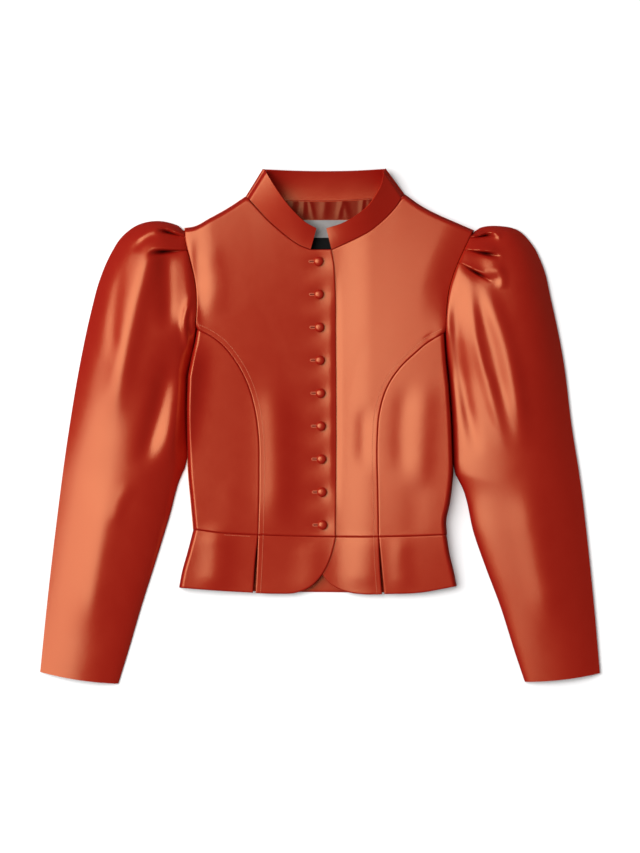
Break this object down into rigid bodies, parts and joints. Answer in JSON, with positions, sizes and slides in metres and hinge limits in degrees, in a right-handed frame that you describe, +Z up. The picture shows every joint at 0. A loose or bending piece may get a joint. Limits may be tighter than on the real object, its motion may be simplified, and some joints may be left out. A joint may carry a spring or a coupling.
{
  "type": "satin jacket",
  "caption": "Cropped satin jacket laid flat: stand collar, buttoned front lap, princess seams, pleated puff sleeves and a slit peplum.",
  "frame": {"origin": "middle of the laid jacket's outline, on the surface it lies on", "axes": "+Y towards the collar, +X towards the wearer's left sleeve, +Z up out of the front"},
  "size_m": [0.716, 0.6583, 0.0392],
  "materials": {
    "satin": "rust duchess satin with a soft tinted sheen",
    "button": "cloth-covered domes in the same satin",
    "label": "pale blank woven label with a black lower band"
  },
  "bodies": {
    "root": {"back": "satin", "back_peplum": "satin", "front_right": "satin", "front_left": "satin", "side_front_right": "satin", "side_front_left": "satin", "peplum_front_right": "satin", "peplum_front_left": "satin", "peplum_side_right": "satin", "peplum_side_left": "satin", "sleeve_right": "satin", "sleeve_left": "satin", "collar": "satin", "neck_facing": "satin", "neck_label": "label", "button_1": "button", "button_2": "button", "button_3": "button", "button_4": "button", "button_5": "button", "button_6": "button", "button_7": "button", "button_8": "button", "button_9": "button"}
  },
  "joints": []
}
